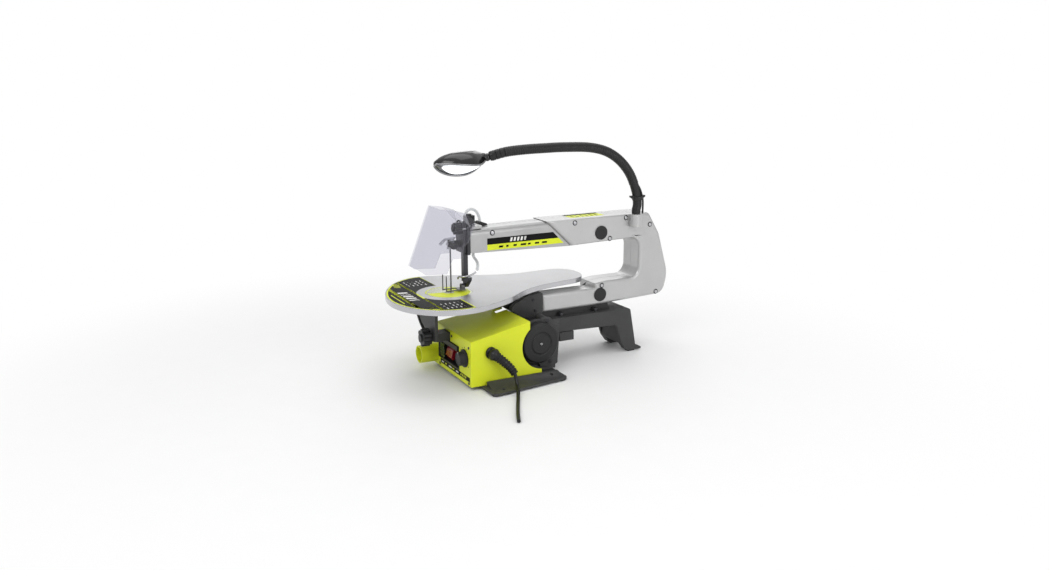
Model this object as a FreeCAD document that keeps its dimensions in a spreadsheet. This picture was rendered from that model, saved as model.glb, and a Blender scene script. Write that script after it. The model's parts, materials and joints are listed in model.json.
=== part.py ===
# Scroll saw with a 16 inch throat, two parallel rocking arms, a tilting table and a gooseneck lamp.
# Frame: X to the operator's right, Y to the rear, Z up. The origin lies on the bench, below the blade.
import FreeCAD, Part
import math
import os

import Sketcher

V = FreeCAD.Vector
doc = FreeCAD.newDocument("ScrollSaw")
sheet = doc.addObject("Spreadsheet::Sheet", "Sizes")

# Driving dimensions, millimetres and degrees.
SIZES = {
    "pin_gap": 127.0,         # blade length between its two pins
    "blade_drop": 35.5,       # lower blade pin below the table surface
    "table_top": 163.0,       # table surface above the bench
    "pivot_reach": 314.0,     # arm pivots behind the blade
    "stroke": 15.0,           # blade travel
    "crank_reach": 141.5,     # motor axis behind the blade
    "crank_height": 66.0,     # motor axis above the bench
    "link_reach": 425.0,      # rear tension link behind the blade
    "frame_half": 31.0,       # half width of the C-frame housing
    "nose_half": 27.0,        # half width of the front arm cover
    "shell_wall": 3.5,        # wall of the cast housing
    "cover_wall": 3.0,        # wall of the moulded front cover
    "arm_half": 5.5,          # half thickness of the rocking arms
    "run_gap": 0.05,          # radial running clearance
    "table_edge": 10.0,       # depth of the table's rim
    "table_web": 5.0,         # thickness of the table's plate
    "insert_r": 45.0,         # radius of the throat insert
    "tilt_bolt_r": 82.0,      # table lock bolt's distance from the tilt axis
    "tilt_max": 45.0,         # table tilt to the left
    "foot_half": 160.0,       # half width of the base's front foot
    "foot_front": 11.0,       # front edge of the front foot
    "beam_half": 41.0,        # half width of the base beam
    "pad_high": 2.5,          # rubber pads under the feet
    "foot_thick": 4.0,        # thickness of the cast feet
    "beam_top": 93.0,         # top of the base beam
    "frame_rest": 106.0,      # underside of the lower housing
    "cover_front": -10.0,     # front face of the front cover
    "cover_left": -90.0,
    "cover_right": 108.0,
    "motor_r": 36.0,
    "nose_y": 29.5,           # front end of the front arm cover
    "goose_r": 9.5,           # gooseneck outer radius
    "goose_x": 39.0,          # gooseneck's distance from the centre plane
    "screw_r": 3.6,           # radius of the housing screw heads
}


class Size:
    """A value from the sheet with the expression that binds a property to it."""

    def __init__(self, value, text):
        self.value = value
        self.text = text

    def join(self, other, sign, value, swap=False):
        first, second = (text(other), self.text) if swap else (self.text, text(other))
        return Size(value, "(%s %s %s)" % (first, sign, second))

    def __add__(self, other):
        return self.join(other, "+", self.value + num(other))

    __radd__ = __add__

    def __sub__(self, other):
        return self.join(other, "-", self.value - num(other))

    def __rsub__(self, other):
        return self.join(other, "-", num(other) - self.value, True)

    def __mul__(self, other):
        return self.join(other, "*", self.value * num(other))

    __rmul__ = __mul__

    def __truediv__(self, other):
        return self.join(other, "/", self.value / num(other))

    def __neg__(self):
        return Size(-self.value, "(-1 * %s)" % self.text)


def num(v):
    return v.value if isinstance(v, Size) else float(v)


def text(v):
    return v.text if isinstance(v, Size) else "%.6f" % v


for row, (name, value) in enumerate(SIZES.items(), 1):
    sheet.set("A%d" % row, name)
    sheet.set("B%d" % row, str(value))
    sheet.setAlias("B%d" % row, name)
doc.recompute()
D = {name: Size(value, "Sizes." + name) for name, value in SIZES.items()}

# Worked out from the driving dimensions.
LOWER_PIN = D["table_top"] - D["blade_drop"]
UPPER_PIN = LOWER_PIN + D["pin_gap"]
PIVOT_Y = D["pivot_reach"]
LINK_Y = D["link_reach"]
CRANK = (D["crank_reach"], D["crank_height"])
THROW = D["stroke"] / 2 * (D["pivot_reach"] - D["crank_reach"]) / D["pivot_reach"]
FOOT_TOP = D["pad_high"] + D["foot_thick"]
TOP = D["table_top"]
HALF = D["frame_half"]
NOSE = D["nose_half"]
GAP = D["run_gap"]

NODES = []


# ---------------------------------------------------------------- building blocks
def bind(obj, prop, v):
    if isinstance(v, Size):
        obj.setExpression(prop, v.text)


def place(obj, x, y, z, turn=None):
    obj.Placement = FreeCAD.Placement(V(num(x), num(y), num(z)), turn or FreeCAD.Rotation())
    for letter, v in (("x", x), ("y", y), ("z", z)):
        bind(obj, "Placement.Base." + letter, v)
    return obj


def turn_to(axis):
    """The rotation that lays a piece's own Z axis along +X, +Y or +Z."""
    if axis == "x":
        return FreeCAD.Rotation(V(0, 1, 0), 90)
    if axis == "y":
        return FreeCAD.Rotation(V(1, 0, 0), -90)
    return FreeCAD.Rotation()


def spot(axis, centre, along):
    """Row coordinates of a point given across an axis and along it."""
    a, b = centre
    return {"x": (along, a, b), "y": (a, along, b), "z": (a, b, along)}[axis]


def block(x, y, z):
    box = doc.addObject("Part::Box", "Block")
    for prop, (low, high) in (("Length", x), ("Width", y), ("Height", z)):
        setattr(box, prop, num(high) - num(low))
        span = high - low
        bind(box, prop, span)
    return place(box, x[0], y[0], z[0])


def rod(axis, centre, radius, span):
    cyl = doc.addObject("Part::Cylinder", "Rod")
    cyl.Radius = num(radius)
    cyl.Height = num(span[1]) - num(span[0])
    bind(cyl, "Radius", radius)
    bind(cyl, "Height", span[1] - span[0])
    return place(cyl, *spot(axis, centre, span[0]), turn_to(axis))


def cone(axis, centre, r_start, r_end, span):
    con = doc.addObject("Part::Cone", "Cone")
    con.Radius1 = num(r_start)
    con.Radius2 = num(r_end)
    con.Height = num(span[1]) - num(span[0])
    bind(con, "Radius1", r_start)
    bind(con, "Radius2", r_end)
    bind(con, "Height", span[1] - span[0])
    return place(con, *spot(axis, centre, span[0]), turn_to(axis))


def sphere(x, y, z, radius):
    obj = doc.addObject("Part::Sphere", "Ball")
    obj.Radius = num(radius)
    bind(obj, "Radius", radius)
    return place(obj, x, y, z)


def fuse(*shapes):
    if len(shapes) == 1:
        return shapes[0]
    obj = doc.addObject("Part::MultiFuse", "Fuse")
    obj.Shapes = list(shapes)
    obj.Refine = True
    return obj


def cut(base, *tools):
    obj = doc.addObject("Part::Cut", "Cut")
    obj.Base = base
    obj.Tool = fuse(*tools)
    obj.Refine = True
    return obj


def common(a, b):
    obj = doc.addObject("Part::Common", "Common")
    obj.Base = a
    obj.Tool = b
    return obj


def group(*pieces):
    obj = doc.addObject("Part::Compound", "Group")
    obj.Links = list(pieces)
    return obj


def ring(axis, centre, r_out, r_in, span):
    return cut(rod(axis, centre, r_out, span), rod(axis, centre, r_in, span))


def node(label, obj):
    """Name a finished sub-part; its label is also its file's name."""
    obj.Label = label
    NODES.append(obj)
    return obj


def origin_plane(body, role):
    return next(f for f in body.Origin.OriginFeatures if getattr(f, "Role", "") == role)


PLANES = {"x": "YZ_Plane", "y": "XZ_Plane", "z": "XY_Plane"}


def sketch_on(body, axis, along):
    """A sketch across an axis, at a distance along it; its own axes are the other two row axes."""
    sketch = body.newObject("Sketcher::SketchObject", "Sketch")
    sketch.AttachmentSupport = [(origin_plane(body, PLANES[axis]), "")]
    sketch.MapMode = "FlatFace"
    sign = -1 if axis == "y" else 1
    sketch.AttachmentOffset = FreeCAD.Placement(V(0, 0, sign * num(along)), FreeCAD.Rotation())
    if isinstance(along, Size):
        sketch.setExpression("AttachmentOffset.Base.z", (along * sign).text)
    return sketch


def pin_point(sketch, geo, end, u, v):
    """Hold one end of a line, or a centre, at its two distances from the sketch's origin."""
    for kind, value in (("DistanceX", u), ("DistanceY", v)):
        index = sketch.addConstraint(Sketcher.Constraint(kind, -1, 1, geo, end, num(value)))
        if isinstance(value, Size):
            sketch.setExpression("Constraints[%d]" % index, value.text)


def draw_outline(sketch, outline):
    points = [V(num(p[0]), num(p[1]), 0) for p in outline]
    count = len(points)
    for i in range(count):
        sketch.addGeometry(Part.LineSegment(points[i], points[(i + 1) % count]), False)
    for i in range(count):
        sketch.addConstraint(Sketcher.Constraint("Coincident", i, 2, (i + 1) % count, 1))
    for i, p in enumerate(outline):
        pin_point(sketch, i, 1, p[0], p[1])


def draw_circle(sketch, u, v, radius):
    geo = sketch.addGeometry(Part.Circle(V(num(u), num(v), 0), V(0, 0, 1), num(radius)), False)
    index = sketch.addConstraint(Sketcher.Constraint("Radius", geo, num(radius)))
    if isinstance(radius, Size):
        sketch.setExpression("Constraints[%d]" % index, radius.text)
    pin_point(sketch, geo, 3, u, v)


def round_corners(body, axis, outline):
    """Round the corners that carry a radius: the straight edges that run along the axis there."""
    for radius in sorted({num(p[2]) for p in outline if len(p) > 2}):
        doc.recompute()
        corners = [(num(p[0]), num(p[1])) for p in outline if len(p) > 2 and num(p[2]) == radius]
        names = []
        for i, edge in enumerate(body.Tip.Shape.Edges, 1):
            mid = edge.CenterOfMass
            flat = {"x": (mid.y, mid.z), "y": (mid.x, mid.z), "z": (mid.x, mid.y)}[axis]
            ends = edge.BoundBox
            across = {"x": ends.YLength + ends.ZLength, "y": ends.XLength + ends.ZLength,
                      "z": ends.XLength + ends.YLength}[axis]
            near = any(math.hypot(flat[0] - u, flat[1] - v) < 0.05 for u, v in corners)
            if near and across < 0.05:
                names.append("Edge%d" % i)
        base = body.Tip
        feature = body.newObject("PartDesign::Fillet", "Corners")
        feature.Base = (base, names)
        feature.Radius = radius
        body.Tip = feature


def pad(body, axis, outline, span):
    sketch = sketch_on(body, axis, span[1] if axis == "y" else span[0])
    draw_outline(sketch, outline)
    return pad_sketch(body, sketch, span)


def pad_sketch(body, sketch, span, kind="PartDesign::Pad"):
    feature = body.newObject(kind, "Pad")
    feature.Profile = sketch
    feature.Length = num(span[1]) - num(span[0])
    bind(feature, "Length", span[1] - span[0])
    if kind.endswith("Pocket"):
        feature.Reversed = True
    body.Tip = feature
    return feature


def new_body():
    return doc.addObject("PartDesign::Body", "Body")


def prism(axis, outline, span):
    """A padded outline; a third number on a point rounds that corner."""
    body = new_body()
    pad(body, axis, outline, span)
    round_corners(body, axis, outline)
    return body


def hollow(body, wall, open_faces):
    """Turn the body into a shell of one wall thickness, open on the faces the test picks."""
    doc.recompute()
    names = ["Face%d" % i for i, face in enumerate(body.Tip.Shape.Faces, 1)
             if open_faces(face.CenterOfMass, face.normalAt(0, 0))]
    base = body.Tip
    shell = body.newObject("PartDesign::Thickness", "Shell")
    shell.Base = (base, names)
    shell.Value = num(wall)
    bind(shell, "Value", wall)
    shell.Reversed = True
    body.Tip = shell
    return body


def spin(profile, axis, x, y, z, reverse=False):
    """A turned piece: a profile of (radius, height) points, revolved and laid along an axis."""
    body = new_body()
    sketch = sketch_on(body, "y", 0)
    draw_outline(sketch, profile)
    feature = body.newObject("PartDesign::Revolution", "Revolution")
    feature.Profile = sketch
    feature.ReferenceAxis = (origin_plane(body, "Z_Axis"), [""])
    feature.Angle = 360
    body.Tip = feature
    turn = turn_to(axis)
    if reverse:
        turn = turn.multiply(FreeCAD.Rotation(V(1, 0, 0), 180))
    return place(body, x, y, z, turn)


def star_knob(radius, height, lobes, axis, x, y, z, reverse=False):
    """A moulded hand knob: a disc with round scallops between its lobes, and a hub."""
    body = new_body()
    disc = sketch_on(body, "z", 0)
    draw_circle(disc, 0, 0, radius)
    pad_sketch(body, disc, (0, height))
    scallop = sketch_on(body, "z", 0)
    draw_circle(scallop, radius * 1.12, 0, radius * 0.34)
    pocket = pad_sketch(body, scallop, (0, height), "PartDesign::Pocket")
    pattern = body.newObject("PartDesign::PolarPattern", "Lobes")
    pattern.Originals = [pocket]
    pattern.Axis = (origin_plane(body, "Z_Axis"), [""])
    pattern.Angle = 360
    pattern.Occurrences = lobes
    body.Tip = pattern
    hub = sketch_on(body, "z", height)
    draw_circle(hub, 0, 0, radius * 0.45)
    pad_sketch(body, hub, (0, height * 0.2))
    turn = turn_to(axis)
    if reverse:
        turn = turn.multiply(FreeCAD.Rotation(V(1, 0, 0), 180))
    return place(body, x, y, z, turn)


def smooth_edge(points):
    curve = Part.BSplineCurve()
    curve.interpolate([V(*[num(c) for c in p]) for p in points])
    return curve.toShape()


def swept(edge, radius, inner=0):
    """A round solid along one smooth edge, with a bore if an inner radius is given."""
    path = Part.Wire([edge])
    start = edge.valueAt(edge.FirstParameter)
    along = edge.tangentAt(edge.FirstParameter)
    shapes = []
    for r in (num(radius), num(inner)):
        if r:
            ring_wire = Part.Wire([Part.makeCircle(r, start, along)])
            shapes.append(path.makePipeShell([ring_wire], True, True))
    return shapes[0].cut(shapes[1]) if inner else shapes[0]


def round_pipe(points, radius, inner=0):
    """A round tube or cable along a smooth path in space."""
    obj = doc.addObject("Part::Feature", "Pipe")
    obj.Shape = swept(smooth_edge(points), radius, inner)
    return obj


def round_links(points, radius, count):
    """A flexible neck: a row of touching curved links along a smooth path."""
    edge = smooth_edge(points)
    step = edge.Length / count
    marks = [edge.getParameterByLength(step * i) for i in range(count)] + [edge.LastParameter]
    links = []
    for low, high in zip(marks, marks[1:]):
        link = doc.addObject("Part::Feature", "Link")
        link.Shape = swept(edge.Curve.toShape(low, high), radius)
        links.append(link)
    return group(*links)


# ---------------------------------------------------------------- base
FRONT_FOOT_Y = (D["foot_front"], 178.0)
PEDESTAL_Y = (20.0, 176.0)        # pedestal's footprint on the front foot
PEDESTAL_TOP_Y = (100.0, 215.0)
PEDESTAL_X = (-56.0, 78.0)        # wider on the motor's side


def tapered_box(low_x, low_y, low_z, top_x, top_y, top_z):
    """A pedestal between two rectangles at different heights."""
    body = new_body()
    sketches = []
    for (left, right), (front, rear), level in ((low_x, low_y, low_z), (top_x, top_y, top_z)):
        sketch = sketch_on(body, "z", level)
        draw_outline(sketch, [(left, front), (right, front), (right, rear), (left, rear)])
        sketches.append(sketch)
    loft = body.newObject("PartDesign::AdditiveLoft", "Loft")
    loft.Profile = sketches[0]
    loft.Sections = [sketches[1]]
    loft.Ruled = True
    body.Tip = loft
    return body


def make_base():
    half = D["foot_half"]
    plate = prism("z", [(-half, FRONT_FOOT_Y[0], 10), (half, FRONT_FOOT_Y[0], 10),
                        (half - 23, FRONT_FOOT_Y[1], 10), (-half + 23, FRONT_FOOT_Y[1], 10)],
                  (D["pad_high"], FOOT_TOP))
    beam = D["beam_half"]
    pedestal = tapered_box(PEDESTAL_X, PEDESTAL_Y, FOOT_TOP, (-beam, beam), PEDESTAL_TOP_Y, D["beam_top"])
    inside = tapered_box((PEDESTAL_X[0] + 7, PEDESTAL_X[1] - 7), (PEDESTAL_Y[0] + 7, PEDESTAL_Y[1] - 5),
                         D["pad_high"] - 1, (7 - beam, beam - 7),
                         (PEDESTAL_TOP_Y[0] + 7, PEDESTAL_TOP_Y[1] - 6), D["beam_top"] - 6)
    arch = D["pad_high"]
    leg = prism("x", [(205, D["beam_top"]), (382, D["beam_top"], 7), (397, 13), (411, arch + 4),
                      (411, arch), (376, arch, 6), (363, 20), (350, 61, 8), (215, 65), (205, 65)],
                (-beam, beam))
    channel = block((-beam + 7, beam - 7), (190, 362), (0, D["beam_top"] - 7))
    foot_gap = block((-24, 24), (355, 415), (0, 16))
    rest = prism("x", [(186, D["beam_top"] - 1), (345, D["beam_top"] - 1), (338, 107.3),
                       (294, D["frame_rest"]), (186, D["frame_rest"])], (-20, 20))
    motor_bore = rod("x", CRANK, D["motor_r"] + 12, (0, 130))
    rod_slot = block((-14, 26), (118, 168), (60, 110))
    bolts = [rod("z", (x, y), 3.3, (0, 20)) for x, y in ((-140, 40), (140, 40), (-122, 150), (122, 150))]
    bolts += [rod("z", (x, 403), 2.8, (0, 20)) for x in (-33, 33)]
    legs = cut(leg, channel, foot_gap)
    shell = cut(fuse(plate, pedestal), inside, motor_bore, rod_slot)
    skirts = []
    lugs = []
    for side in (-1, 1):
        rib = [(side * 111, FOOT_TOP - 1), (side * 111, 15), (side * 118, 14), (side * 134, FOOT_TOP - 1)]
        skirts.append(prism("y", rib, (20, 168)))
        inner, outer = side * (beam - 8), side * beam
        lugs.append(block((inner, outer) if side > 0 else (outer, inner), (215, 247), (45, 63)))
    column = prism("x", [(177, FOOT_TOP - 0.5), (184.5, FOOT_TOP - 0.5), (190, 88), (182, 88)], (30, 75.9))
    node("base_casting", cut(fuse(shell, legs, rest, column, *skirts, *lugs), *bolts))


def make_feet():
    pads = []
    for x, y in ((-146, 22), (146, 22), (-128, 168), (128, 168)):
        pads.append(rod("z", (x, y), 9, (0, D["pad_high"])))
    for x in (-33, 33):
        pads.append(block((x - 7, x + 7), (380, 396), (0, D["pad_high"])))
    node("rubber_feet", group(*pads))


# ---------------------------------------------------------------- housing
SEAM_TOP = (189.0, 287.0)
SEAM_LOW = (246.0, 233.5)
HOUSING = [
    SEAM_TOP, (430, 287, 12), (458, 241, 40), (483, 155, 60), (472, 112, 22), (380, 108.6),
    (294, 106), (181, 106), (181, 142), (303, 142), (303, 151), (330, 154), (408, 154, 22),
    (408, 235, 22), (386, 237), SEAM_LOW]
RELIEF_TOP = 147.8                 # the tilted table's underside stays above this height plus x


def relieved(shell):
    """Slope the left shell's upper corner away from the tilted table, and close it with a wall."""
    wall = 4.24                    # height of the sloping wall, three millimetres thick
    edge = -5.8
    corner = [(-HALF - 1, RELIEF_TOP - HALF - 1), (edge, 142), (edge, 143), (-HALF - 1, 143)]
    wedge = prism("y", corner, (180, 303))
    slope = prism("y", [(-HALF, RELIEF_TOP - HALF - wall), (-HALF, RELIEF_TOP - HALF), (edge, 142),
                        (edge, 142 - wall)], (181, 303))
    end = prism("y", [(-30, 113), (-30, 145), (-2, 145)], (303, 306.5))
    return fuse(cut(shell, wedge), slope, end)


def housing_half(side):
    span = (0, HALF) if side > 0 else (-HALF, 0)
    body = new_body()
    pad(body, "x", HOUSING, span)
    round_corners(body, "x", HOUSING)
    hollow(body, D["shell_wall"], lambda c, n: abs(c.x) < 0.01)
    if side < 0:
        body = relieved(body)
    near, far = (0, 12) if side > 0 else (-12, 0)
    upper_window = block((near, far), (170, 262), (240, 270))
    lower_window = block((near, far), (178, 190), (110, 138))
    inner = 9
    bosses = []
    holes = []
    for level in (LOWER_PIN, UPPER_PIN):
        reach = (inner, HALF - 1) if side > 0 else (-HALF + 1, -inner)
        bosses.append(rod("x", (PIVOT_Y, level), 12, reach))
        holes.append(rod("x", (PIVOT_Y, level), 5, (0, 40) if side > 0 else (-40, 0)))
    return cut(fuse(body, *bosses), upper_window, lower_window, *holes)


def make_housing():
    node("housing_right", housing_half(1))
    node("housing_left", housing_half(-1))
    pins = [rod("x", (PIVOT_Y, level), 5, (-HALF + 0.5, HALF - 0.5)) for level in (LOWER_PIN, UPPER_PIN)]
    node("pivot_pins", group(*pins))
    caps = []
    for level in (LOWER_PIN, UPPER_PIN):
        caps.append(rod("x", (PIVOT_Y, level), 14, (HALF, HALF + 2)))
        caps.append(rod("x", (PIVOT_Y, level), 10, (-HALF - 2, -HALF)))
    node("pivot_caps", group(*caps))


ARM_COVER = [(D["nose_y"], 239), SEAM_LOW, (190.5, 285.5), (D["nose_y"], 283)]


def arm_cover_half(side):
    span = (0, NOSE) if side > 0 else (-NOSE, 0)
    body = new_body()
    pad(body, "x", [(p[0] - 0.1, p[1]) if i in (1, 2) else p for i, p in enumerate(ARM_COVER)], span)
    front = num(D["nose_y"])
    hollow(body, 2.5, lambda c, n: abs(c.x) < 0.01 or abs(c.y - front) < 0.01)
    near, far = (0, 12) if side > 0 else (-12, 0)
    return cut(body, block((near, far), (170, 262), (240, 270)))


def make_arm_covers():
    node("arm_cover_right", arm_cover_half(1))
    node("arm_cover_left", arm_cover_half(-1))


# ---------------------------------------------------------------- rocking arms and drive
def rocker(level, front_r, holes):
    half = D["arm_half"]
    outline = [(0, level - front_r), (PIVOT_Y, level - 7.5), (LINK_Y, level - 6), (LINK_Y, level + 6),
               (PIVOT_Y, level + 7.5), (0, level + front_r)]
    bar = prism("x", outline, (-half, half))
    eyes = [rod("x", (0, level), front_r, (-half, half)), rod("x", (LINK_Y, level), 6.5, (-half, half)),
            rod("x", (PIVOT_Y, level), 12.5, (-half, half))]
    bores = [rod("x", (y, level), r, (-10, 10)) for y, r in holes]
    fork = block((-3, 3), (-10, 11), (level - 12, level + 12))
    return cut(fuse(bar, *eyes), fork, *bores)


def make_arms():
    node("upper_arm", rocker(UPPER_PIN, 5.5, [(0, 2.1), (PIVOT_Y, 9), (LINK_Y, 3.05)]))
    node("lower_arm", rocker(LOWER_PIN, 5.5, [(0, 2.1), (PIVOT_Y, 9), (LINK_Y, 3.05),
                                            (D["crank_reach"], 3)]))
    for label, level in (("upper_bush", UPPER_PIN), ("lower_bush", LOWER_PIN)):
        node(label, ring("x", (PIVOT_Y, level), 9, 5 + GAP, (-8, 8)))
    node("crosshead_pin", rod("x", (D["crank_reach"], LOWER_PIN), 3, (-D["arm_half"], 17)))


def make_rear_link():
    """The tension link that closes the rear of the parallel arms, a cheek on each side of them."""
    parts = []
    for side in (-1, 1):
        span = (7, 10) if side > 0 else (-10, -7)
        parts.append(block(span, (LINK_Y - 6, LINK_Y + 6), (LOWER_PIN, UPPER_PIN)))
        for level in (LOWER_PIN, UPPER_PIN):
            parts.append(rod("x", (LINK_Y, level), 6, span))
    for level in (LOWER_PIN, UPPER_PIN):
        parts.append(rod("x", (LINK_Y, level), 3, (-10, 10)))
    parts.append(block((-10, 10), (LINK_Y - 4, LINK_Y + 4), (186, 196)))
    node("rear_link", fuse(*parts))


def make_con_rod():
    """The big end's bore leaves room for the crank pin's whole circle at either end of the stroke."""
    span = (9.5, 15.5)
    y, low = CRANK
    big_bore = 4 + THROW * 2 + 0.5
    shank = block(span, (y - 5, y + 5), (low + 14, LOWER_PIN))
    body = fuse(rod("x", CRANK, big_bore + 4, span), shank, rod("x", (y, LOWER_PIN), 8, span))
    node("con_rod", cut(body, rod("x", CRANK, big_bore, (0, 30)), rod("x", (y, LOWER_PIN), 3 + GAP, (0, 30))))


MOTOR_EARS = ((163.0, 104.0), (170.0, 23.0))


def make_motor():
    y, z = CRANK
    r = D["motor_r"]
    can = rod("x", CRANK, r, (32, 82))
    node("motor_body", cut(can, rod("x", CRANK, 24, (35, 78)), rod("x", CRANK, 4 + GAP, (0, 99))))
    node("motor_rotor", fuse(rod("x", CRANK, 22, (37, 75)), rod("x", CRANK, 4, (17, 91))))
    disc = cut(rod("x", CRANK, 13, (17, 23)), rod("x", CRANK, 4, (17, 23)))
    node("crank_disc", fuse(disc, rod("x", (y + THROW, z), 4, (9, 17))))
    blades = []
    for i in range(7):
        angle = 2 * math.pi * i / 7
        blade = doc.addObject("Part::Box", "FanBlade")
        blade.Length, blade.Width, blade.Height = 7, 22, 2
        blades.append(place(blade, 84, y + 5 * math.cos(angle), z + 5 * math.sin(angle),
                            FreeCAD.Rotation(V(1, 0, 0), math.degrees(angle))))
    node("motor_fan", cut(fuse(rod("x", CRANK, 9, (84, 91)), *blades), rod("x", CRANK, 4, (80, 99))))
    cover = spin([(0, 12), (0, 16.5), (19, 16.5), (20, 15), (22, 15), (23, 16.5), (36, 15), (39, 12), (40, 0),
                  (37, 0), (36, 11), (34, 12)], "x", 82, y, z)
    node("motor_end_cover", cut(cover, rod("x", CRANK, 3, (90, 100))))
    span = (76, 81)
    flange = prism("x", [(141, 30), (150, 111), (170, 111, 5), (181, 96, 4), (191.5, 92, 3), (186.5, 17, 3),
                         (172, 12, 5), (150, 14, 5)], span)
    ears = [rod("x", centre, 7, (low, span[1] + 0.8)) for centre, low in zip(MOTOR_EARS, (44, 74.4))]
    housing = fuse(rod("x", CRANK, r + 8, span), flange, *ears)
    node("motor_bracket", cut(housing, rod("x", CRANK, r, (30, 90))))


# ---------------------------------------------------------------- blade and its holders
def make_blade():
    node("blade", block((-0.25, 0.25), (-1.5, 1.5), (LOWER_PIN - 3, UPPER_PIN + 3)))
    for label, level, sign in (("lower_clamp", LOWER_PIN, -1), ("upper_clamp", UPPER_PIN, 1)):
        pin = rod("x", (0, level), 2, (-7.5, 7.5))
        cheek = block((-2.6, 2.6), (-6, 8), (level - 9, level + 9))
        slot = block((-0.3, 0.3), (-8, 1.6), (level - 10, level + 10))
        node(label, cut(fuse(pin, cheek), slot))
        knob = fuse(rod("x", (0, level), 2.4, (7.8, 11)), rod("x", (0, level), 7, (11, 20)))
        node(label + "_screw", knob)
    outline = [(8.5, 268), (-10, 266.5), (-22, 257), (-20, 254), (-9, 263.7), (7, 263.7), (8.8, 266)]
    lever = prism("x", outline, (-2.5, 2.5))
    node("blade_release_lever", fuse(lever, rod("x", (7, 266), 1.8, (-3.3, 3.3))))


# ---------------------------------------------------------------- nose
BAR_X = (9.0, 20.0)
BAR_Y = (18.0, 27.0)
SLEEVE_X = (6.5, 22.5)
SLEEVE_Y = (15.5, 29.5)
SLEEVE_TOP = 297.0
FOOT_PIVOT = 172.0
HINGE = (29.5, 290.0)              # the shield's hinge line


def make_nose():
    front = D["nose_y"]
    plate = block((-NOSE, NOSE), (front - 6, front), (236, 284))
    sleeve = block(SLEEVE_X, SLEEVE_Y, (240, SLEEVE_TOP))
    arm_gap = block((-9, SLEEVE_X[0] - 0.1), (10, 40), (238, 271))
    bar_gap = block((BAR_X[0] - GAP, BAR_X[1] + GAP), (BAR_Y[0] - GAP, BAR_Y[1] + GAP), (230, 300))
    screw_hole = rod("y", (14.5, 286), 3 + GAP, (15, 18))
    ears = []
    for span in ((24.2, NOSE), (-NOSE, -24.2)):
        ears += [block(span, (front - 6, front), (280, 290)), rod("x", HINGE, 4.5, span)]
    hinge_hole = rod("x", HINGE, 2 + GAP, (-NOSE - 1, NOSE + 1))
    node("nose_bracket", cut(fuse(plate, sleeve, *ears), arm_gap, bar_gap, screw_hole, hinge_hole))
    cover = [(15.45, 284), (15.45, 287), (55, 289), (55, 283.5), (29.6, 283.05), (29.6, 284)]
    cap = prism("x", cover, (-20, 24))
    around = block((SLEEVE_X[0] - 0.1, SLEEVE_X[1] + 0.1), (SLEEVE_Y[0] - 0.1, SLEEVE_Y[1] + 0.1), (280, 300))
    node("nose_cap", cut(cap, around, rod("z", (-8, 43), 3 + GAP, (280, 295))))
    knob = star_knob(11, 14, 6, "y", 14.5, 15, 286, True)
    node("foot_lock_knob", fuse(knob, rod("y", (14.5, 286), 3, (14, 17.9))))
    node("tension_knob", fuse(star_knob(11, 15, 8, "z", -8, 43, 289.6), rod("z", (-8, 43), 3, (286, 290))))
    lever = prism("x", [(59, 285), (78, 285), (76, 288), (64, 292.5), (59, 291)], (-17, 1))
    node("tension_lever", fuse(lever, rod("x", (61.5, 287.5), 2, (-18.5, 2.5))))


def make_foot():
    """Drop foot: a square bar, its cross block, and the fork that tilts on it.

    The cross block slopes up to the right, so the fully tilted table passes below it.
    """
    bar = block(BAR_X, BAR_Y, (184.5, 281))
    low = FOOT_PIVOT - 2
    cross = prism("y", [(-5, low), (5, low), (21, low + 16), (21, 191.5), (-5, 191.5)], (BAR_Y[1], 34))
    pin = rod("y", (0, FOOT_PIVOT), 2.5, (21, 30))
    pipe_lug = block((BAR_X[1] - 1, 26), (19.5, 23), (191, 195.5))
    node("foot_bar", fuse(bar, cross, pin, pipe_lug))
    wide, inner = 10, 7.6
    plate = prism("z", [(-wide, 26), (wide, 26), (wide, -14), (inner, -14), (inner, 12), (-inner, 12),
                        (-inner, -14), (-wide, -14)], (166, 168))
    hub = fuse(rod("y", (0, FOOT_PIVOT), 5, (20, 26.8)), block((-5, 5), (20, 26.8), (166, FOOT_PIVOT)))
    posts = [rod("z", (side * 8.8, -13), 1.1, (166, 196)) for side in (-1, 1)]
    hole = rod("y", (0, FOOT_PIVOT), 2.5 + GAP, (10, 40))
    node("foot_fork", cut(fuse(plate, hub, *posts), hole))


# ---------------------------------------------------------------- table
TABLE_RIGHT = [(16, -126), (69, -115), (103, -92), (123, -63), (131, -29), (127, 6), (113, 42), (94, 78),
               (67, 113), (43, 151), (28, 193), (18, 245), (2, 287), (-26, 300)]
TABLE_LEFT = [(-57, 299), (-78, 285), (-86, 255), (-84, 210), (-86, 166), (-98, 126), (-116, 88), (-134, 50),
              (-147, 11), (-149, -20), (-129, -60), (-103, -84), (-67, -106), (-26, -121)]


def smooth_outline(sketch, points):
    curve = Part.BSplineCurve()
    curve.interpolate([V(x, y, 0) for x, y in points], PeriodicFlag=True)
    sketch.addGeometry(curve, False)


def inset(points, distance):
    """Move each point of a closed outline inwards, square to the line between its neighbours."""
    moved = []
    for i, (x, y) in enumerate(points):
        before, after = points[i - 1], points[(i + 1) % len(points)]
        run, rise = after[0] - before[0], after[1] - before[1]
        scale = distance / math.hypot(run, rise)
        moved.append((x - rise * scale, y + run * scale))
    return moved


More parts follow.
